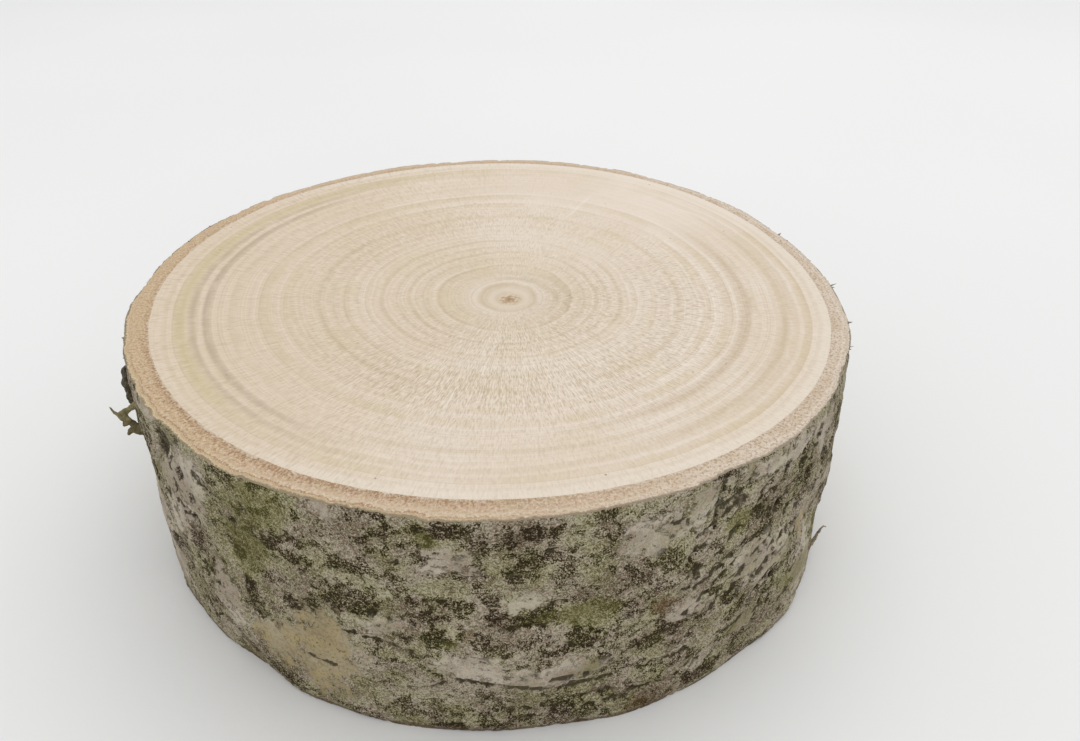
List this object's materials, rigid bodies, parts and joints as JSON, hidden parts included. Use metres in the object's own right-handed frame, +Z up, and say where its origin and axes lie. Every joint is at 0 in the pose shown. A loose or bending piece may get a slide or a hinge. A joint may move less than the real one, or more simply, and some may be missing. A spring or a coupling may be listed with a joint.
{
  "type": "wood slice",
  "caption": "Thick round slice sawn across a bark-covered stem, with flat faces showing growth rings, for use as a stand, base or coaster.",
  "frame": {"origin": "middle of the lower sawn face, on which the slice rests", "axes": "+Z up, along the stem's axis from the lower saw cut to the upper one; -Y is the front, -X the left side"},
  "size_m": [0.118, 0.1181, 0.04],
  "materials": {
    "end_grain_wood": "sawn and sanded end grain, unsealed, matt",
    "bark": "thin grey-brown bark with dark crust and green algae, matt",
    "olive_lichen": "dry leathery branched lichen, matt",
    "dark_lichen": "dry dark leafy lichen, matt"
  },
  "bodies": {
    "root": {"wood_slice": "end_grain_wood", "lichen_tuft": "olive_lichen", "lichen_crust": "dark_lichen"}
  },
  "joints": []
}
